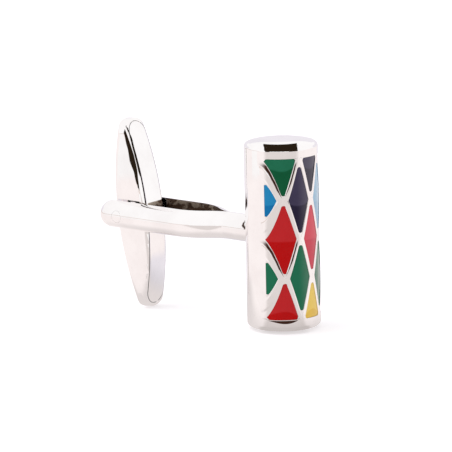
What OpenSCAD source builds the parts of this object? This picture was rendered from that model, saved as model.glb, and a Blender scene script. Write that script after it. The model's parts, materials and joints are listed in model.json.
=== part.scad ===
// Barrel cufflink with a harlequin enamel head, a split post and a swivelling toggle.
// It stands as worn on a shelf: on the flat lower end of the head and the lower tip of the toggle.
// Origin: centre of the head's flat lower end. +Z runs up the head, and the post leaves it along -X.

/* [Head] */
// Diameter of the barrel-shaped head
head_d = 7.3; // [6.6:0.1:9]
// Length of the head, which stands upright
head_len = 18.9; // [17:0.1:21]
// Rounding of the edges of the head's two ends
head_edge_r = 0.5; // [0.3:0.05:0.7]
// Radius of the flat middle of each end, on which the link stands
end_flat_r = 1.2; // [1:0.1:1.6]
// Slope of each end where its dome meets the rounded edge, in degrees
end_slope = 14; // [8:1:18]

/* [Enamel pattern] */
// Plain metal left at each end of the head, beyond the pattern
end_margin = 1.45; // [1.2:0.05:2]
// Plain metal left beside the pattern, seen square from the front
side_margin = 0.07; // [0.05:0.01:0.3]
// Width of the metal rims between the enamel cells
rim_w = 0.36; // [0.25:0.01:0.45]
// Rounding of the corners of the cells
cell_corner_r = 0.22; // [0.12:0.01:0.3]
// Depth of the struck recesses that hold the enamel, measured from front to back
recess_depth = 0.4; // [0.25:0.01:0.6]
// How far the enamel lies under the metal rims
enamel_sunk = 0.06; // [0.03:0.01:0.12]
// Gap between the enamel and the walls of its recess
enamel_gap = 0.015; // [0.01:0.005:0.03]

/* [Split post] */
// Diameter of the round post, which is also the height of its two half-round arms
post_d = 2.75; // [2.4:0.05:3.2]
// Depth of the post's socket in the head, from the crown of the head's back
socket_depth = 1.3; // [0.8:0.1:2]
// Gap between the post and the wall of its socket
socket_gap = 0.015; // [0.01:0.005:0.03]
// Distance from the head's axis to the point where the post splits
split_x = 7; // [5.6:0.1:7.4]
// Half of the angle at which the split opens
split_angle = 15; // [10:1:20]
// Length over which the two arms spread apart
spread_len = 5; // [4.4:0.1:5.4]
// Clear gap between the two arms
arm_gap = 3.9; // [3.7:0.05:4.4]
// Distance from the head's axis to the toggle's pivot
pivot_x = 18.9; // [18.7:0.1:22]
// Length of the arms beyond the pivot
arm_end = 2.85; // [1.7:0.05:3]
// Rise of the post towards the pivot, in degrees
post_rise = 0.5; // [0:0.1:1]

/* [Pivot] */
// Diameter of the pivot pin
pin_d = 1.2; // [1:0.05:1.4]
// Gap between the pin and its bores in the arms
pin_gap = 0.01; // [0.005:0.005:0.02]
// Radial play of the toggle on the pin
pivot_play = 0.04; // [0.02:0.01:0.07]
// Diameter of the two hubs that bear on the arms
hub_d = 2.4; // [1.9:0.05:2.7]
// Play between each hub and its arm
hub_play = 0.06; // [0.03:0.01:0.1]
// Distance across the flats of the pin's squared middle
pin_flats = 0.96; // [0.8:0.02:0.98]

/* [Toggle] */
// Length of the toggle from tip to tip
toggle_len = 19.3; // [17:0.1:19.3]
// Width of the toggle, along the pin
toggle_w = 3.15; // [3:0.05:3.4]
// Depth of the toggle at its middle, along the post
toggle_depth = 4.1; // [3.7:0.1:4.6]
// Depth of the toggle at its tips
toggle_tip_t = 0.8; // [0.6:0.05:1]
// Rounding of the edges on the outer side, which faces away from the head
toggle_back_r = 0.7; // [0.5:0.05:1.2]
// Rounding of the edges on the side that faces the head
toggle_front_r = 0.6; // [0.3:0.05:0.7]
// How far the toggle's mid-depth lies from the pin towards the head
toggle_forward = 0.4; // [0.3:0.05:0.5]
// Lean of the toggle from square to the post, with its upper tip away from the head
toggle_tilt = 7; // [0:0.5:8]
// Thickness of the walls beside the toggle's pocket
pocket_wall = 0.6; // [0.5:0.05:0.7]
// Length of the pocket that holds the detent spring
pocket_len = 8.2; // [7:0.1:9]
// Room between the pin and the floor of the pocket
pocket_room = 0.15; // [0.1:0.01:0.2]

/* [Toggle cover] */
// Thickness of the cover that is let into the toggle on the side facing the head
cover_t = 0.32; // [0.28:0.02:0.4]
// Width of the shell's lip around the cover
lip_w = 0.33; // [0.2:0.01:0.4]
// Width of the seam between the cover and the shell
seam_w = 0.06; // [0.03:0.01:0.08]
// Thickness of the tongue that seats the cover in the pocket
tongue_t = 0.3; // [0.2:0.05:0.4]
// Gap between the tongue and the walls of the pocket
tongue_gap = 0.03; // [0.02:0.01:0.05]

/* [Detent spring] */
// Thickness of the leaf spring
spring_t = 0.18; // [0.12:0.01:0.22]
// Gap between the spring's edges and the walls of the pocket
spring_side_gap = 0.1; // [0.05:0.01:0.2]
// Gap between the spring's ends and the ends of the pocket
spring_end_gap = 0.35; // [0.2:0.05:0.6]
// Gap between the spring and the pin, and between the spring and the cover
spring_play = 0.02; // [0.01:0.005:0.04]

/* [Hidden] */
$fn = 96;
over = 0.5 * post_d;
head_r = head_d / 2;
post_r = post_d / 2;
post_z = head_len / 2;
pin_r = pin_d / 2;

// Each end is flat in the middle and domed around it, and the dome runs smoothly into the rounded edge.
dome_r = head_edge_r + (head_r - head_edge_r - end_flat_r) / sin(end_slope);
edge_z = dome_r - (dome_r - head_edge_r) * cos(end_slope);
dome_edge_x = end_flat_r + dome_r * sin(end_slope);

// The pattern is struck from the front, so its columns are evenly spaced across the head.
window_half_w = head_r - side_margin;
window_half_h = head_len / 2 - end_margin;
column_share = 0.3818;
row_share = 0.4838;
column_pitch = window_half_w * column_share;
row_pitch = window_half_h * row_share;
cell_half_w = column_pitch - rim_w;
cell_half_h = row_pitch;
corner_steps = 5;

GREEN = [0.06, 0.38, 0.24];
RED = [0.72, 0.02, 0.03];
BLUE = [0.06, 0.46, 0.69];
NAVY = [0.13, 0.12, 0.26];
SKY = [0.45, 0.70, 0.86];
YELLOW = [0.94, 0.77, 0.30];

// Name, column and row of each cell. Column 0 is the front line of the head.
CELLS = [
    ["enamel_c1_upper", -3, 1, BLUE],
    ["enamel_c1_lower", -3, -1, GREEN],
    ["enamel_c2_top", -2, 2, GREEN],
    ["enamel_c2_middle", -2, 0, RED],
    ["enamel_c2_bottom", -2, -2, RED],
    ["enamel_c3_upper", -1, 1, NAVY],
    ["enamel_c3_lower", -1, -1, GREEN],
    ["enamel_c4_top", 0, 2, NAVY],
    ["enamel_c4_middle", 0, 0, RED],
    ["enamel_c4_bottom", 0, -2, YELLOW],
    ["enamel_c5_upper", 1, 1, SKY],
    ["enamel_c5_lower", 1, -1, GREEN],
    ["enamel_c6_top", 2, 2, RED],
    ["enamel_c6_middle", 2, 0, YELLOW],
    ["enamel_c6_bottom", 2, -2, NAVY],
    ["enamel_c7_upper", 3, 1, GREEN],
    ["enamel_c7_lower", 3, -1, BLUE],
];

// The arms leave the split at split_angle and spread in two arcs of one radius, out and back again.
arm_shift = arm_gap / 2;
spread_slope = arm_shift / spread_len;
spread_cos = (1 + cos(split_angle) + spread_slope * sin(split_angle)) / (2 * norm([1, spread_slope]));
spread_angle = atan(spread_slope) + acos(spread_cos);
spread_r = spread_len / (2 * sin(spread_angle) - sin(split_angle));
bend_x = split_x + spread_r * (sin(spread_angle) - sin(split_angle));
bend_y = spread_r * (cos(split_angle) - cos(spread_angle));
arm_x0 = split_x + spread_len;
arm_x1 = pivot_x + arm_end - post_r;
split_lap = 0.25 * post_r;

// The toggle's two long faces are arcs of one radius.
toggle_bulge = (toggle_depth - toggle_tip_t) / 2;
toggle_r = (pow(toggle_len / 2, 2) + pow(toggle_bulge, 2)) / (2 * toggle_bulge);
toggle_front_x = toggle_forward + toggle_depth / 2;
toggle_back_x = toggle_forward - toggle_depth / 2;
pocket_w = toggle_w - 2 * pocket_wall;
pocket_x = -(pin_r + pocket_room);
cover_x = toggle_front_x - cover_t;
tongue_x = cover_x - tongue_t;
hub_reach = arm_gap / 2 - hub_play;

// The leaf spring bows from the cover's tongue to the pin.
spring_w = pocket_w - 2 * spring_side_gap;
spring_half_len = pocket_len / 2 - spring_end_gap;
spring_near_x = pin_r + spring_play;
spring_far_x = tongue_x - spring_play;
spring_bow = spring_far_x - spring_near_x - spring_t;
spring_r = (pow(spring_half_len, 2) + pow(spring_bow, 2)) / (2 * spring_bow);

function unit(v) = v / norm(v);

// Keeps the part of a convex outline that lies within limit along dir.
function clipped(points, dir, limit) = [
    for (i = [0:len(points) - 1])
        let (a = points[i])
        let (b = points[(i + 1) % len(points)])
        let (da = limit - a * dir)
        let (db = limit - b * dir)
        each concat(
            da >= 0 ? [a] : [],
            da * db < 0 ? [a + (b - a) * da / (da - db)] : []
        )
];

// Rounds each corner of a convex outline, less where its sides are too short for the radius.
// Towards the side of the head the outline is foreshortened, and the radius with it.
function rounded(points, full_r) = [
    for (i = [0:len(points) - 1])
        let (n = len(points))
        let (p = points[i])
        let (r = full_r * sqrt(1 - pow(p[0] / head_r, 2)))
        let (to_prev = points[(i + n - 1) % n] - p)
        let (to_next = points[(i + 1) % n] - p)
        let (half = acos(unit(to_prev) * unit(to_next)) / 2)
        let (room = min(norm(to_prev), norm(to_next)) / 2)
        let (corner_r = min(r, room * tan(half)))
        let (centre = p + unit(unit(to_prev) + unit(to_next)) * corner_r / sin(half))
        let (start = atan2(to_prev[0], -to_prev[1]))
        let (turn = 180 - 2 * half)
        for (k = [0:corner_steps])
            let (angle = start + turn * k / corner_steps)
            centre + corner_r * [cos(angle), sin(angle)]
];

// How far a diamond reaches from its middle to one side: to the window's edge where that is nearer.
function reach(middle_x, side) =
    let (room = window_half_w - side * middle_x)
    room > 0 ? min(cell_half_w, room) : cell_half_w;

// One cell of the lattice, cut by the window, in the plane seen from the front.
function cell_outline(column, row) =
    let (centre = [column * column_pitch, row * row_pitch])
    let (diamond = [
        centre + [reach(centre[0], 1), 0],
        centre + [0, cell_half_h],
        centre - [reach(centre[0], -1), 0],
        centre - [0, cell_half_h],
    ])
    let (a = clipped(diamond, [1, 0], window_half_w))
    let (b = clipped(a, [-1, 0], window_half_w))
    let (c = clipped(b, [0, 1], window_half_h))
    clipped(c, [0, -1], window_half_h);

// The cell's outline as a bar that runs forward from the head's axis, grown or shrunk by a share.
module cell_bar(cell, inset) {
    points = rounded(cell_outline(cell[1], cell[2]), cell_corner_r);
    middle = [for (axis = [0:1]) (max([for (p = points) p[axis]]) + min([for (p = points) p[axis]])) / 2];
    size = [for (axis = [0:1]) max([for (p = points) p[axis]]) - min([for (p = points) p[axis]])];
    shrink = [for (axis = [0:1]) 1 - 2 * inset / size[axis]];
    translate([0, middle[0], post_z + middle[1]])
        rotate([90, 0, 90])
            linear_extrude(head_d)
                polygon([for (p = points) [(p[0] - middle[0]) * shrink[0], (p[1] - middle[1]) * shrink[1]]]);
}

// The head's round wall, moved back along the striking direction.
module struck_wall(depth) {
    translate([-depth, 0, 0])
        cylinder(h = head_len, r = head_r);
}

// Places a piece that is drawn around the post's axis, with the head's middle at the origin.
module on_post() {
    translate([0, 0, post_z])
        rotate([0, post_rise, 0])
            children();
}

// The lower half of the head's outline, from its axis out.
module head_profile() {
    square([end_flat_r, post_z]);
    translate([0, edge_z])
        square([head_r, post_z - edge_z]);
    translate([head_r - head_edge_r, edge_z])
        circle(r = head_edge_r);
    intersection() {
        translate([end_flat_r, dome_r])
            circle(r = dome_r, $fn = 4 * $fn);
        square([dome_edge_x, 2 * edge_z]);
    }
}

module barrel() {
    color("silver")
        difference() {
            rotate_extrude() {
                head_profile();
                translate([0, head_len])
                    mirror([0, 1])
                        head_profile();
            }
            for (cell = CELLS)
                difference() {
                    cell_bar(cell, 0);
                    struck_wall(recess_depth);
                }
            on_post()
                translate([-head_r - over, 0, 0])
                    rotate([0, 90, 0])
                        cylinder(h = over + socket_depth, r = post_r + socket_gap);
        }
}

module enamel(cell) {
    color(cell[3])
        difference() {
            intersection() {
                cell_bar(cell, enamel_gap);
                struck_wall(enamel_sunk);
            }
            struck_wall(recess_depth - enamel_gap);
        }
}

// Half of the post's round section, with its flat side on the Y axis of the drawing plane.
module half_round() {
    intersection() {
        circle(r = post_r);
        translate([0, -post_r])
            square([post_r, post_d]);
    }
}

// The arm's two bends, drawn from the section where one bend passes into the other.
module arm_bends() {
    translate([-bend_x, bend_y, 0])
        rotate([0, 0, -spread_angle]) {
            translate([0, spread_r, 0])
                rotate([0, 0, -90])
                    rotate_extrude(angle = spread_angle - split_angle / 2)
                        translate([spread_r, 0])
                            mirror([1, 0])
                                half_round();
            translate([0, -spread_r, 0])
                rotate([0, 0, 90])
                    rotate_extrude(angle = spread_angle)
                        translate([spread_r, 0])
                            half_round();
        }
}

// One arm of the split post, with its flat side facing the plane Y = 0.
module arm() {
    arm_bends();
    translate([-arm_x1, arm_shift, 0])
        rotate([90, 0, 90])
            linear_extrude(arm_x1 - arm_x0)
                half_round();
    translate([-arm_x1, arm_shift, 0])
        intersection() {
            sphere(r = post_r);
            translate([-post_r, 0, -post_r])
                cube([post_r, post_r, post_d]);
        }
}

module split_post() {
    color("silver")
        on_post()
            difference() {
                union() {
                    translate([split_lap - split_x, 0, 0])
                        rotate([0, 90, 0])
                            cylinder(h = split_x - split_lap - head_r + socket_depth - socket_gap, r = post_r);
                    arm();
                    mirror([0, 1, 0])
                        arm();
                }
                translate([-pivot_x, 0, 0])
                    rotate([90, 0, 0])
                        cylinder(h = 2 * (arm_gap + post_d), r = pin_r + pin_gap, center = true);
            }
}

module pivot_pin() {
    color("silver")
        on_post()
            translate([-pivot_x, 0, 0])
                difference() {
                    intersection() {
                        rotate([90, 0, 0])
                            cylinder(h = arm_gap + post_d, r = pin_r, center = true);
                        union() {
                            cube([post_d, arm_gap, post_d], center = true);
                            for (side = [-1, 1])
                                translate([0, side * arm_shift, 0])
                                    rotate([0, 90, 0])
                                        cylinder(h = post_d, r = post_r, center = true);
                        }
                    }
                    rotate([0, -toggle_tilt, 0])
                        for (turn = [0:3])
                            rotate([0, turn * 90, 0])
                                translate([pin_flats / 2, -spring_w / 2, -pin_d])
                                    cube([pin_d, spring_w, 2 * pin_d]);
                }
}

// Places a piece that is drawn around the pivot, with the head's side along +X.
module on_pivot() {
    on_post()
        translate([-pivot_x, 0, 0])
            rotate([0, -toggle_tilt, 0])
                children();
}

// A thick disc with rounded rims, whose axis runs along the pin.
module coin(r, rim_r) {
    rotate([90, 0, 0])
        rotate_extrude($fn = 6 * $fn) {
            translate([0, -toggle_w / 2])
                square([r - rim_r, toggle_w]);
            translate([0, rim_r - toggle_w / 2])
                square([r, toggle_w - 2 * rim_r]);
            for (side = [-1, 1])
                translate([r - rim_r, side * (toggle_w / 2 - rim_r)])
                    circle(r = rim_r);
        }
}

// A bar along the post with the toggle's round-ended outline, drawn in by a margin all round.
module toggle_bar(margin) {
    translate([toggle_back_x - over, 0, 0])
        rotate([0, 90, 0])
            linear_extrude(toggle_depth + 2 * over) {
                square([toggle_len - toggle_w, toggle_w - 2 * margin], center = true);
                for (side = [-1, 1])
                    translate([side * (toggle_len - toggle_w) / 2, 0])
                        circle(r = toggle_w / 2 - margin);
            }
}

// The toggle's whole outer form: two coins that cross, with the tips rounded as seen along the post.
module toggle_form() {
    intersection() {
        translate([toggle_back_x + toggle_r, 0, 0])
            coin(toggle_r, toggle_back_r);
        translate([toggle_front_x - toggle_r, 0, 0])
            coin(toggle_r, toggle_front_r);
        toggle_bar(0);
    }
}

// The space behind the cover: everything within depth of the front face is left out.
module behind_front(depth) {
    translate([toggle_front_x - toggle_r, 0, 0])
        rotate([90, 0, 0])
            cylinder(h = 2 * toggle_w, r = toggle_r - depth, center = true, $fn = 6 * $fn);
}

module toggle_shell() {
    color("silver")
        on_pivot()
            difference() {
                union() {
                    toggle_form();
                    rotate([90, 0, 0])
                        cylinder(h = 2 * hub_reach, d = hub_d, center = true);
                }
                difference() {
                    toggle_bar(lip_w);
                    behind_front(cover_t + seam_w);
                }
                translate([pocket_x, -pocket_w / 2, -pocket_len / 2])
                    cube([toggle_depth, pocket_w, pocket_len]);
                rotate([90, 0, 0])
                    cylinder(h = 2 * toggle_w, r = pin_r + pivot_play, center = true);
            }
}

module toggle_cover() {
    tongue_w = pocket_w - 2 * tongue_gap;
    tongue_len = pocket_len - 2 * tongue_gap;
    color("silver")
        on_pivot()
            union() {
                difference() {
                    intersection() {
                        toggle_form();
                        toggle_bar(lip_w + seam_w);
                    }
                    behind_front(cover_t);
                }
                intersection() {
                    translate([tongue_x, -tongue_w / 2, -tongue_len / 2])
                        cube([cover_t + tongue_t, tongue_w, tongue_len]);
                    behind_front(cover_t / 2);
                }
            }
}

module detent_spring() {
    color("gray")
        on_pivot()
            intersection() {
                translate([spring_near_x + spring_r, 0, 0])
                    rotate([90, 0, 0])
                        difference() {
                            cylinder(h = spring_w, r = spring_r, center = true);
                            cylinder(h = 2 * spring_w, r = spring_r - spring_t, center = true);
                        }
                translate([0, -toggle_w / 2, -spring_half_len])
                    cube([spring_far_x, toggle_w, 2 * spring_half_len]);
            }
}

barrel();
for (cell = CELLS)
    enamel(cell);
split_post();
pivot_pin();
toggle_shell();
toggle_cover();
detent_spring();
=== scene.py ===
# Barrel cufflink with a harlequin enamel head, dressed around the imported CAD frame
import math
import bpy
from mathutils import Matrix, Vector
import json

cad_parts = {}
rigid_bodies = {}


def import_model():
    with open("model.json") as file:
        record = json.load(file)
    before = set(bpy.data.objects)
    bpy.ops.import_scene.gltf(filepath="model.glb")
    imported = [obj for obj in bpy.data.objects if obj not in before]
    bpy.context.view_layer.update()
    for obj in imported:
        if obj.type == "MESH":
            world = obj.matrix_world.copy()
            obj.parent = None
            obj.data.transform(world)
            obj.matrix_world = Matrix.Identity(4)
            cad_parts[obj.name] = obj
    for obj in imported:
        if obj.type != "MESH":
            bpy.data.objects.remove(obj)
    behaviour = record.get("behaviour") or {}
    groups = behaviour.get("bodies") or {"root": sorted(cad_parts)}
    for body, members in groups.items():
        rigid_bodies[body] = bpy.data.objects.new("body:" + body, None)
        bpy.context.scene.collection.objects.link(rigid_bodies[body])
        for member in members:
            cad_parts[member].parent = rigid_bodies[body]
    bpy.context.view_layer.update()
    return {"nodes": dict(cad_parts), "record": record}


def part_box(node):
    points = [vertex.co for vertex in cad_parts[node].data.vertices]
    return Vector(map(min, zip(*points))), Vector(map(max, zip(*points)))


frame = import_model()
print("frame loaded:", len(frame["nodes"]), "nodes")

mm = 0.001
bpy.ops.object.select_all(action="DESELECT")


# Shader maths as Python expressions

class Maths:
    def __init__(self, shader, socket):
        self.shader = shader
        self.socket = socket

    def apply(self, operation, *values):
        inputs = dict(enumerate((self,) + values))
        node = self.shader.node("ShaderNodeMath", {"operation": operation}, inputs)
        return Maths(self.shader, node.outputs[0])

    def __add__(self, other):
        return self.apply("ADD", other)

    def __sub__(self, other):
        return self.apply("SUBTRACT", other)

    def __rsub__(self, other):
        return self.apply("MULTIPLY_ADD", -1.0, other)

    def __mul__(self, other):
        return self.apply("MULTIPLY", other)

    def __truediv__(self, other):
        return self.apply("DIVIDE", other)

    __radd__ = __add__
    __rmul__ = __mul__

    def power(self, exponent):
        return self.apply("POWER", exponent)

    def size(self):
        return self.apply("ABSOLUTE")

    def lower(self, other):
        return self.apply("MINIMUM", other)

    def higher(self, other):
        return self.apply("MAXIMUM", other)

    def offCentre(self):  # offset from the nearest whole number
        return self - self.apply("ROUND")

    def ramp(self, low, high):  # soft rise from 0 to 1
        inputs = {"Value": self, "From Min": low, "From Max": high}
        node = self.shader.node("ShaderNodeMapRange", {"interpolation_type": "SMOOTHSTEP"}, inputs)
        return Maths(self.shader, node.outputs[0])


class Shader:
    def __init__(self, name):
        self.material = bpy.data.materials.new(name)
        self.material.use_nodes = True
        self.tree = self.material.node_tree
        self.tree.nodes.clear()
        self.output = self.node("ShaderNodeOutputMaterial")
        self.place = self.node("ShaderNodeTexCoord").outputs["Object"]
        axes = self.node("ShaderNodeSeparateXYZ", {}, {0: self.place})
        self.x, self.y, self.z = (Maths(self, socket) for socket in axes.outputs)

    def node(self, kind, settings=None, values=None):
        made = self.tree.nodes.new(kind)
        for key, setting in (settings or {}).items():
            setattr(made, key, setting)
        for key, value in (values or {}).items():
            socket = made.inputs[key]
            if isinstance(value, Maths):
                self.tree.links.new(value.socket, socket)
            elif isinstance(value, bpy.types.NodeSocket):
                self.tree.links.new(value, socket)
            else:
                socket.default_value = value
        return made

    def noise(self, scale, detail=3.0, roughness=0.5, stretch=(1, 1, 1)):  # scale in waves per mm
        mapped = self.node("ShaderNodeMapping", {}, {"Vector": self.place, "Scale": stretch})
        inputs = {"Vector": mapped.outputs[0], "Scale": scale / mm, "Detail": detail, "Roughness": roughness}
        return Maths(self, self.node("ShaderNodeTexNoise", {}, inputs).outputs[0])

    def mix(self, factor, first, second):
        node = self.node("ShaderNodeMix", {"data_type": "RGBA"}, {0: factor, 6: first, 7: second})
        return node.outputs[2]

    def bump(self, height):  # height in metres
        inputs = {"Height": height, "Distance": 1.0, "Strength": 1.0}
        return self.node("ShaderNodeBump", {}, inputs).outputs["Normal"]

    def blend(self, factor, first, second):
        return self.node("ShaderNodeMixShader", {}, {0: factor, 1: first.outputs[0], 2: second.outputs[0]})

    def glow(self, colour, strength):
        return self.node("ShaderNodeEmission", {}, {"Color": colour, "Strength": strength})

    def finish(self, shader):
        self.tree.links.new(shader.outputs[0], self.output.inputs[0])
        return self.material

    def surface(self, values):
        return self.finish(self.node("ShaderNodeBsdfPrincipled", {}, values))


def shade(red, green, blue):  # an sRGB colour from 0 to 255 as the shader's linear values
    def linear(value):
        value /= 255
        return value / 12.92 if value <= 0.04045 else ((value + 0.055) / 1.055) ** 2.4
    return (linear(red), linear(green), linear(blue), 1.0)


# Camera, matched to the photograph

camera = {
    "azimuth": 40.07,  # degrees from the -Y side towards +X
    "elevation": 10.95,
    "roll": 1.33,
    "distance": 400 * mm,
    "lens": 323.9,
    "aimRight": -5.555 * mm,  # from the middle of the head to the middle of the picture
    "aimUp": 0.695 * mm,
    "clipStart": 10 * mm,
}


def placeCamera(settings):
    azimuth, elevation, roll = (math.radians(settings[key]) for key in ("azimuth", "elevation", "roll"))
    right = Vector((math.cos(azimuth), math.sin(azimuth), 0))
    level = Vector((-math.sin(azimuth), math.cos(azimuth), 0))
    forward = level * math.cos(elevation) - Vector((0, 0, math.sin(elevation)))
    up = right.cross(forward)
    cosine, sine = math.cos(roll), math.sin(roll)
    right, up = right * cosine - up * sine, right * sine + up * cosine
    low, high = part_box("barrel")
    aim = (Vector(low) + Vector(high)) / 2 + right * settings["aimRight"] + up * settings["aimUp"]
    eye = aim - forward * settings["distance"]
    data = bpy.data.cameras.new("photoCamera")
    data.lens = settings["lens"]
    data.clip_start = settings["clipStart"]
    item = bpy.data.objects.new("photoCamera", data)
    bpy.context.collection.objects.link(item)
    item.matrix_world = Matrix.Translation(eye) @ Matrix((right, up, -forward)).transposed().to_4x4()
    bpy.context.scene.camera = item


placeCamera(camera)
print("camera placed")


# Floor, light tent and lamps

black = (0.022, 0.014, 0.008, 1.0)
lavender = (0.87, 0.84, 0.89, 1.0)

stage = {
    "floorSize": 3.0,
    "floorDrop": 0.02 * mm,
    "floorColour": shade(243, 240, 243),
    "floorFleck": shade(237, 234, 238),
    "floorGrain": 0.8,
    "floorLift": 0.36,  # glow that brings the open floor to white in the picture
    # the floor as the metal shows it, by its direction from the head
    "floorFront": (0.76, 0.705, 0.685, 1.0),
    "floorSide": (1.0, 0.935, 0.92, 1.0),
    "floorBack": lavender,
    "frontEdge": (0.52, 0.72),  # cosine of the direction from the camera's side
    "backEdge": (-0.72, -0.97),
    "underShade": 0.78,  # darker floor right under the link
    "underReach": (2.5 * mm, 13 * mm),
    "underMiddle": -9.5 * mm,
    "underHalf": 10 * mm,
    "floorFar": (1.0, 0.99, 0.985, 1.0),  # beyond the paper's end, on the camera's left only
    "paperEnd": (86 * mm, 92 * mm),
    "leftEdge": (0.972, 0.99),  # cosine of the direction from the camera's left
    "tentColour": (1.0, 0.992, 0.99, 1.0),
    "tentStrength": 0.78,
    "tentMirrored": 1.02,
    "lamps": [
        # name, place, aim, size, power, colour
        ("softboxTop", (-0.16, -0.10, 0.34), (0, 0, 0.008), 0.36, 0.42, (1.0, 0.99, 0.98)),
        ("softboxLeft", (-0.36, -0.22, 0.16), (0, 0, 0.008), 0.26, 0.16, (1.0, 0.99, 0.98)),
    ],
    "arcs": [
        # name, first and last direction to the right of the camera, in degrees,
        # lowest and highest elevation, distance in metres, colour
        ("arcBack", 120, 240, -1, 19.5, 0.9, lavender),
        ("arcRight", 24, 54, -1, 33, 0.5, black),
        ("arcLeft", 215, 320, -1, 3.2, 0.3, (0.80, 0.71, 0.67, 1.0)),
    ],
}
flag = {  # a black arch 10 mm over the near rim of the head's end, in the shape that the rim mirrors
    "distance": 10 * mm,
    "halfWidth": 1.66 * mm,  # of the black patch that shows on the rim
    "leans": (7, 80.3),  # of the end's surface at the patch's near and far side, in degrees from upright
    "edge": 0.5 * mm,  # the head's end as part.scad draws it: its rounding, flat middle and dome's slope
    "flat": 1.2 * mm,
    "slope": 14,
}
strip = {  # a narrow black card before the upper half of the toggle's front edge
    "away": 0.8 * mm,
    # height, and the left and right end there
    "ends": [
        (12.2 * mm, -17.3 * mm, -17.2 * mm),
        (13.6 * mm, -18.75 * mm, -16.95 * mm),
        (14.8 * mm, -19.35 * mm, -16.5 * mm),
        (16.2 * mm, -19.6 * mm, -16.6 * mm),
        (17.8 * mm, -19.4 * mm, -17.7 * mm),
        (19.2 * mm, -19.0 * mm, -18.6 * mm),
    ],
}
cameraTurn = math.radians(camera["azimuth"])
towardsCamera = Vector((math.sin(cameraTurn), -math.cos(cameraTurn), 0))
acrossCamera = Vector((math.cos(cameraTurn), math.sin(cameraTurn), 0))
upwards = Vector((0, 0, 1))


def mirroredFloor(shader, settings):  # the floor's colour and strength in what the object mirrors
    away = (shader.x * shader.x + shader.y * shader.y).power(0.5)
    ahead = (shader.x * towardsCamera.x + shader.y * towardsCamera.y) / away
    colour = shader.mix(ahead.ramp(*settings["frontEdge"]), settings["floorSide"], settings["floorFront"])
    colour = shader.mix(1 - ahead.ramp(*reversed(settings["backEdge"])), colour, settings["floorBack"])
    left = (shader.x * acrossCamera.x + shader.y * acrossCamera.y) / away * -1
    beyond = away.ramp(*settings["paperEnd"]) * left.ramp(*settings["leftEdge"])
    colour = shader.mix(beyond, colour, settings["floorFar"])
    along = ((shader.x - settings["underMiddle"]).size() - settings["underHalf"]).higher(0)
    reach = (along * along + shader.y * shader.y).power(0.5)
    strength = reach.ramp(*settings["underReach"]) * (1 - settings["underShade"]) + settings["underShade"]
    return colour, strength


def makeFloor(settings):
    bpy.ops.mesh.primitive_plane_add(size=settings["floorSize"], location=(0, 0, -settings["floorDrop"]))
    floor = bpy.context.object
    floor.name = "floorSheet"
    shader = Shader("floorPaper")
    path = shader.node("ShaderNodeLightPath")
    seen, glossy, through = (
        Maths(shader, path.outputs[ray]) for ray in ("Is Camera Ray", "Is Glossy Ray", "Is Transmission Ray")
    )
    grain = shader.noise(settings["floorGrain"], detail=4.0)
    colour = shader.mix(grain, settings["floorColour"], settings["floorFleck"])
    paper = shader.node("ShaderNodeBsdfDiffuse", {}, {"Color": colour})
    lift = shader.glow((1, 1, 1, 1), seen * settings["floorLift"])
    sheet = shader.node("ShaderNodeAddShader", {}, {0: paper.outputs[0], 1: lift.outputs[0]})
    mirrored = shader.glow(*mirroredFloor(shader, settings))
    floor.data.materials.append(shader.finish(shader.blend(glossy.higher(through), sheet, mirrored)))


def mirroredOnly(card, colour):  # a card that shows only in what the object mirrors, and only its front
    shader = Shader(card.name)
    behind = shader.node("ShaderNodeNewGeometry").outputs["Backfacing"]
    clear = shader.node("ShaderNodeBsdfTransparent")
    card.data.materials.append(shader.finish(shader.blend(behind, shader.glow(colour, 1.0), clear)))
    card.visible_camera = False
    card.visible_diffuse = False
    card.visible_shadow = False


def makeGrid(name, across, up):
    bpy.ops.mesh.primitive_grid_add(x_subdivisions=across, y_subdivisions=up, size=2)
    card = bpy.context.object
    card.name = name
    return card


def outFromHead(turn):  # level direction, turned to the right of the camera
    return towardsCamera * math.cos(turn) + acrossCamera * math.sin(turn)


def makeArc(name, first, last, lowest, highest, distance, colour):
    card = makeGrid(name, 60, 1)
    for vertex in card.data.vertices:
        turn = math.radians(first + (last - first) * (1 - vertex.co.x) / 2)
        rise = math.radians(lowest if vertex.co.y < 0 else highest)
        vertex.co = (outFromHead(turn) + upwards * math.tan(rise)) * distance
    mirroredOnly(card, colour)


def between(value, table):  # straight lines through the table's rows
    for (low, first), (high, last) in zip(table, table[1:]):
        if value <= high:
            break
    return first + (last - first) * (value - low) / (high - low)


def headEnd(lean, wall, settings):  # radius, and depth below the top, where the end's surface leans so
    edge, flat, slope = settings["edge"], settings["flat"], math.radians(settings["slope"])
    dome = edge + (wall - edge - flat) / math.sin(slope)
    if lean < math.pi / 2 - slope:
        middle = dome - (dome - edge) * math.cos(slope)
        return wall - edge * (1 - math.cos(lean)), middle - edge * math.sin(lean)
    return flat + dome * math.cos(lean), dome * (1 - math.sin(lean))


def makeFlag(settings, colour):
    card = makeGrid("flagOverHead", 16, 48)
    rise = math.radians(camera["elevation"])
    view = towardsCamera * math.cos(rise) + upwards * math.sin(rise)
    wall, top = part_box("barrel")[1][0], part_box("barrel")[1][2]
    near, far = settings["leans"]
    for vertex in card.data.vertices:
        lean = math.radians(near + (far - near) * (1 - vertex.co.y) / 2)
        radius, drop = headEnd(lean, wall, settings)
        out = outFromHead(math.asin(settings["halfWidth"] * vertex.co.x / radius))
        normal = out * math.cos(lean) + upwards * math.sin(lean)
        mirrored = normal * (2 * normal.dot(view)) - view
        vertex.co = out * radius + upwards * (top - drop) + mirrored * settings["distance"]
    mirroredOnly(card, colour)


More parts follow.
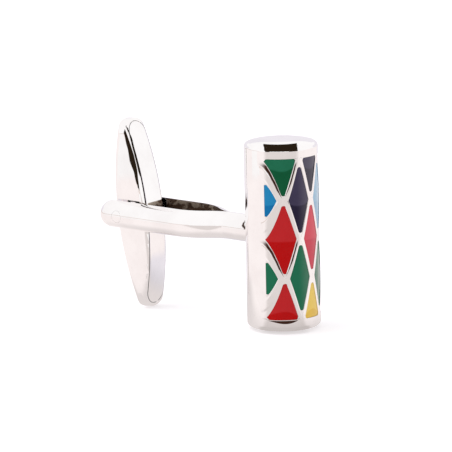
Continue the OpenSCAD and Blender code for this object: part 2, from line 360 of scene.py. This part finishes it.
def makeStrip(settings, colour):
    card = makeGrid("stripByToggle", 1, 24)
    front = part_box("toggle_shell")[0][1] - settings["away"]
    ends = settings["ends"]
    foot, top = ends[0][0], ends[-1][0]
    for vertex in card.data.vertices:
        height = foot + (top - foot) * (vertex.co.y + 1) / 2
        side = 2 if vertex.co.x < 0 else 1
        vertex.co = (between(height, [(row[0], row[side]) for row in ends]), front, height)
    mirroredOnly(card, colour)


def makeTent(settings):
    world = bpy.data.worlds.new("lightTent")
    bpy.context.scene.world = world
    world.use_nodes = True
    tree = world.node_tree
    tree.nodes.clear()
    path = tree.nodes.new("ShaderNodeLightPath")
    output = tree.nodes.new("ShaderNodeOutputWorld")
    sheets = []
    for colour, strength in (
        (settings["tentColour"], settings["tentStrength"]),
        ((1, 1, 1, 1), 1.0),
        (settings["tentColour"], settings["tentMirrored"]),
    ):
        sheet = tree.nodes.new("ShaderNodeBackground")
        sheet.inputs["Color"].default_value = colour
        sheet.inputs["Strength"].default_value = strength
        sheets.append(sheet.outputs[0])
    last = sheets[0]
    for ray, sheet in (("Is Camera Ray", sheets[1]), ("Is Glossy Ray", sheets[2])):
        blend = tree.nodes.new("ShaderNodeMixShader")
        tree.links.new(path.outputs[ray], blend.inputs[0])
        tree.links.new(last, blend.inputs[1])
        tree.links.new(sheet, blend.inputs[2])
        last = blend.outputs[0]
    tree.links.new(last, output.inputs[0])


def makeLamps(settings):
    for name, place, aim, size, power, colour in settings["lamps"]:
        data = bpy.data.lights.new(name, "AREA")
        data.size = size
        data.energy = power
        data.color = colour
        lamp = bpy.data.objects.new(name, data)
        bpy.context.collection.objects.link(lamp)
        lamp.location = place
        lamp.rotation_euler = (Vector(aim) - Vector(place)).to_track_quat("-Z", "Y").to_euler()
        lamp.visible_glossy = False


makeFloor(stage)
for arc in stage["arcs"]:
    makeArc(*arc)
makeFlag(flag, black)
makeStrip(strip, black)
makeTent(stage)
makeLamps(stage)
bpy.context.scene.view_settings.view_transform = "Standard"
print("stage ready")


# The struck lattice, as part.scad spaces it

lattice = {
    "pitch": 3.58 * 0.3818 * mm,  # between columns
    "rise": 8.0 * 0.4838 * mm,  # between rows
    "half": 8.0 * mm,  # half the pattern's height
    "middle": (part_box("barrel")[0][2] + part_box("barrel")[1][2]) / 2,
    "rim": 0.36 * mm,
}


class Cell:  # the nearest cell: its column and row, and the offsets from its middle
    def __init__(self, shader, settings):
        column = shader.y / settings["pitch"]
        row = (shader.z - settings["middle"]) / settings["rise"]
        first = ((column + row) * 0.5).offCentre()
        second = ((column - row) * 0.5).offCentre()
        self.across = first + second
        self.up = first - second
        self.column = column - self.across
        self.row = row - self.up
        self.halfWidth = 1 - settings["rim"] / settings["pitch"]

    def inColumn(self, number):
        return 1 - (self.column - number).size().ramp(0.4, 0.6)

    def inRow(self, number):
        return 1 - (self.row - number).size().ramp(0.4, 0.6)


# Metals

metal = {
    "colour": shade(252, 250, 250),
    "shadow": shade(246, 243, 243),
    "cloud": 0.35,  # noise scales in waves per mm
    "cloudEdge": (0.35, 0.75),
    "scuff": 3.0,
    "scuffEdge": (0.45, 0.8),
    "scuffStretch": (1.0, 1.0, 0.25),
    "grain": 9.0,
    "roughness": 0.04,
    "scuffRoughness": 0.04,
    "cloudWave": 0.00112 * mm,
    "grainWave": 0.000028 * mm,
    "patternFrom": (0, 0.3 * mm),  # the struck half of the head
    "patternFade": 0.02 * mm,
    "rimBevel": 0.024 * mm,  # the rims fall away by this much at the cells' edges
    "rimBevelEnd": 1.09,
}
paintedRecessShade = {  # painted shade: the brown line beside the lower edges of the front cells, and a crescent under the lowest, where the recess walls show dark
    "column": -2,
    "colour": shade(70, 44, 34),
    "roughness": 0.3,
    "room": 0.85 / 1.367,  # half width of these cells on their outer side, as a share of the column pitch
    "inner": 1.03,  # as shares of the way from a cell's middle to its edge
    "outer": 1.16,
    "soft": 0.015,
    "grain": 1.6,
    "ragged": 0.06,
    "lowerHalf": (-0.12, 0.0),
    "crescent": 0.36 * mm,  # thickness of the line under the lowest cell
    "crescentGap": 0.05 * mm,
    "crescentWidth": 1.05,
    "crescentSoft": (0.02 * mm, 0.03 * mm),
    "frontFrom": (0, 1 * mm),
}
armInside = {  # the faces between the post's arms, darker and rougher where they look at the other arm
    "start": -6.9 * mm,
    "startFade": 0.4 * mm,
    "end": -17.0 * mm,
    "endFade": 0.5 * mm,
    "facing": (0.6, 0.8),
    "colour": shade(112, 92, 78),
    "patch": shade(206, 194, 178),
    "patches": 0.55,
    "patchStretch": (1.0, 1.0, 1.6),
    "patchEdge": (0.5, 0.62),
    "roughness": 0.30,
}
paintedJointReflection = {  # painted reflection: a dark curved mark where the post enters the head, on the post's near side only
    "middle": (-3.5 * mm, 10.2 * mm),
    "radius": 0.46 * mm,
    "halfWidth": 0.15 * mm,
    "edge": (0.6, 1.4),  # as shares of the half width
    "grain": 1.3,
    "ragged": 0.9 * mm,
    "nearSide": (-0.9 * mm, -0.6 * mm),
    "colour": shade(74, 58, 50),
}
spring = {
    "colours": (shade(150, 148, 150), shade(178, 176, 178)),
    "streak": 6.0,
    "streakStretch": (1.0, 1.0, 0.1),
    "roughness": 0.25,
    "streakRoughness": 0.15,
    "streakDepth": 0.003 * mm,
}


def plating(shader, settings):
    cloud = shader.noise(settings["cloud"], detail=4.0, roughness=0.6)
    scuff = shader.noise(settings["scuff"], detail=5.0, roughness=0.7, stretch=settings["scuffStretch"])
    grain = shader.noise(settings["grain"], detail=2.0)
    colour = shader.mix(cloud.ramp(*settings["cloudEdge"]), settings["colour"], settings["shadow"])
    roughness = scuff.ramp(*settings["scuffEdge"]) * settings["scuffRoughness"] + settings["roughness"]
    return colour, roughness, cloud * settings["cloudWave"] + grain * settings["grainWave"]


def metalSurface(shader, colour, roughness, height):
    normal = shader.bump(height)
    return shader.surface({"Base Color": colour, "Metallic": 1.0, "Roughness": roughness, "Normal": normal})


def platedMetal(name, settings):
    shader = Shader(name)
    return metalSurface(shader, *plating(shader, settings))


# painted shade: the dark that the recess walls show, beside the front cells' lower edges
def paintedRecessShadeLine(shader, cell, line):
    sides = (cell.across * (1 / cell.halfWidth)).higher(cell.across * (-1 / line["room"]))
    ragged = sides + cell.up.size() + (shader.noise(line["grain"], detail=2.0) - 0.5) * line["ragged"]
    soft = line["soft"]
    band = ragged.ramp(line["inner"] - soft, line["inner"] + soft)
    band = band * (1 - ragged.ramp(line["outer"] - soft, line["outer"] + soft))
    below = (lattice["middle"] - lattice["half"]) - shader.z
    share = sides * (1 / line["crescentWidth"])
    depth = (1 - share * share) * line["crescent"]
    gap, (gapSoft, depthSoft) = line["crescentGap"], line["crescentSoft"]
    crescent = below.ramp(gap, gap + gapSoft) * (1 - (below - depth).ramp(0, depthSoft))
    lower = (1 - cell.up.ramp(*line["lowerHalf"])) * (1 - below.ramp(-gap, 0))
    front = shader.x.ramp(*line["frontFrom"]) * cell.inColumn(line["column"])
    return (band * lower + crescent * below.ramp(0, gapSoft)).lower(1) * front


def headMetal(name, settings, line):
    shader = Shader(name)
    colour, roughness, height = plating(shader, settings)
    cell = Cell(shader, lattice)
    outwards = cell.across.size() / cell.halfWidth + cell.up.size()
    half = lattice["half"]
    pattern = 1 - (shader.z - lattice["middle"]).size().ramp(half, half + settings["patternFade"])
    pattern = pattern * shader.x.ramp(*settings["patternFrom"])
    height = height + outwards.ramp(1.0, settings["rimBevelEnd"]) * pattern * settings["rimBevel"]
    # painted shade from the recess walls: darker, rougher metal in a line and a crescent
    mask = paintedRecessShadeLine(shader, cell, line)
    colour = shader.mix(mask, colour, line["colour"])
    return metalSurface(shader, colour, roughness + mask * line["roughness"], height)


def facesTowardsArm(shader, inside):  # the faces that look at the other arm
    facing = shader.node("ShaderNodeNewGeometry").outputs["True Normal"]
    facingY = Maths(shader, shader.node("ShaderNodeSeparateXYZ", {}, {0: facing}).outputs[1])
    inwards = facingY * shader.y.apply("SIGN") * -1
    start, end = inside["start"], inside["end"]
    behind = 1 - shader.x.ramp(start - inside["startFade"], start)
    return inwards.ramp(*inside["facing"]) * behind * shader.x.ramp(end, end + inside["endFade"])


# painted reflection of the head's edge: a ragged dark ring on the post
def paintedJointReflectionMark(shader, mark):
    fromX = shader.x - mark["middle"][0]
    fromZ = shader.z - mark["middle"][1]
    ragged = (shader.noise(mark["grain"], detail=4.0, roughness=0.6) - 0.5) * mark["ragged"]
    ring = ((fromX * fromX + fromZ * fromZ).power(0.5) - mark["radius"]).size() + ragged
    inner, outer = (mark["halfWidth"] * share for share in mark["edge"])
    return (1 - ring.ramp(inner, outer)) * (1 - shader.y.ramp(*mark["nearSide"]))


def postMetal(name, settings, inside, mark):
    shader = Shader(name)
    colour, roughness, height = plating(shader, settings)
    towardsArm = facesTowardsArm(shader, inside)
    patches = shader.noise(inside["patches"], detail=3.0, roughness=0.6, stretch=inside["patchStretch"])
    innerColour = shader.mix(patches.ramp(*inside["patchEdge"]), inside["colour"], inside["patch"])
    colour = shader.mix(towardsArm, colour, innerColour)
    # painted reflection of the head's edge, by the joint
    colour = shader.mix(paintedJointReflectionMark(shader, mark), colour, mark["colour"])
    return metalSurface(shader, colour, towardsArm * inside["roughness"] + roughness, height)


def springSteel(name, settings):
    shader = Shader(name)
    streak = shader.noise(settings["streak"], stretch=settings["streakStretch"])
    colour = shader.mix(streak, *settings["colours"])
    roughness = streak * settings["streakRoughness"] + settings["roughness"]
    return metalSurface(shader, colour, roughness, streak * settings["streakDepth"])


# Enamels

enamel = {
    "roughness": 0.07,
    "speckRoughness": 0.05,
    "specular": 0.12,
    "coatRoughness": 0.03,
    "glossFrom": (-1.7 * mm, -0.5 * mm),  # the glaze is glossier past the middle of the pattern
    "cloud": 0.9,  # noise scales in waves per mm
    "cloudEdge": (0.3, 0.8),
    "speck": 14.0,
    "speckEdge": (0.5, 0.8),
    "ripple": 0.7,
    "dishAcross": 0.030 * mm,  # how far the glaze sinks in the middle of a cell, in the bump
    "dishUp": 0.20 * mm,
    "rippleDepth": 0.0025 * mm,
    "speckShare": 0.05,
    "border": -0.05,  # where the painted reflection ends and the glaze's own colour begins below it, in rows from a cell's middle
    "borderRise": -0.10,
    "borderCurve": 0.14,
    "borderSoft": 0.025,
    "plainRow": -1,  # its cells show no border: the painted reflection's lighter tone covers them whole
    "unreflectedShare": 0.9,
    "cloudShare": 0.12,
    "tones": {  # painted reflection: the lighter tone of each glaze, then its own colour
        "enamel_green": (shade(30, 114, 82), shade(0, 88, 52)),
        "enamel_red": (shade(200, 38, 42), shade(190, 2, 4)),
        "enamel_blue": (shade(36, 140, 194), shade(12, 116, 176)),
        "enamel_navy": (shade(66, 60, 86), shade(34, 28, 54)),
        "enamel_sky": (shade(152, 198, 226), shade(138, 186, 218)),
        "enamel_yellow": (shade(252, 216, 96), shade(244, 200, 70)),
    },
    "pinker": {  # the column where a glaze turns pinker, and its tones there: with painted reflection, then its own
        "glazeRed": (0, shade(226, 68, 88), shade(214, 48, 74)),
    },
}


def enamelGlaze(name, tones, settings):
    shader = Shader(name)
    cloud = shader.noise(settings["cloud"], roughness=0.55)
    speck = shader.noise(settings["speck"], detail=2.0)
    ripple = shader.noise(settings["ripple"], detail=1.0)
    cell = Cell(shader, lattice)
    # painted reflection: above a curved border in each cell the glaze takes its lighter tone
    across = cell.across * cell.across
    border = settings["border"] + cell.row * (settings["borderRise"] + across * settings["borderCurve"])
    unreflected = 1 - (cell.up - border).ramp(-settings["borderSoft"], settings["borderSoft"])
    unreflected = unreflected * (1 - cell.inRow(settings["plainRow"]))
    # depth is 0 in the painted reflection's tone and 1 in the glaze's own colour, with some random cloud
    depth = unreflected * settings["unreflectedShare"] + cloud.ramp(*settings["cloudEdge"]) * settings["cloudShare"]
    colour = shader.mix(depth, *tones)
    if name in settings["pinker"]:
        column, reflectedTone, ownTone = settings["pinker"][name]
        colour = shader.mix(cell.inColumn(column), colour, shader.mix(depth, reflectedTone, ownTone))
    dish = across * settings["dishAcross"] + cell.up * cell.up * settings["dishUp"]
    height = dish + (ripple + speck * settings["speckShare"]) * settings["rippleDepth"]
    return shader.surface({
        "Base Color": colour,
        "Roughness": speck.ramp(*settings["speckEdge"]) * settings["speckRoughness"] + settings["roughness"],
        "Specular IOR Level": settings["specular"],
        "Coat Weight": shader.y.ramp(*settings["glossFrom"]),
        "Coat Roughness": settings["coatRoughness"],
        "Normal": shader.bump(height),
    })


materials = {
    "plated_head": headMetal("headPlating", metal, paintedRecessShade),
    "plated_post": postMetal("postPlating", metal, armInside, paintedJointReflection),
    "plated_toggle": platedMetal("togglePlating", metal),
    "plated_cover": platedMetal("coverPlating", metal),
    "pin_steel": platedMetal("pinSteel", metal),
    "spring_steel": springSteel("springSteel", spring),
}
for slotName, tones in enamel["tones"].items():
    glaze = "glaze" + slotName.split("_")[1].title()
    materials[slotName] = enamelGlaze(glaze, tones, enamel)

for part in frame["record"]["subparts"]:
    solid = bpy.data.objects[part["node"]]
    for slot in solid.material_slots:
        slot.material = materials[part["material_slot"]]
print("materials given")
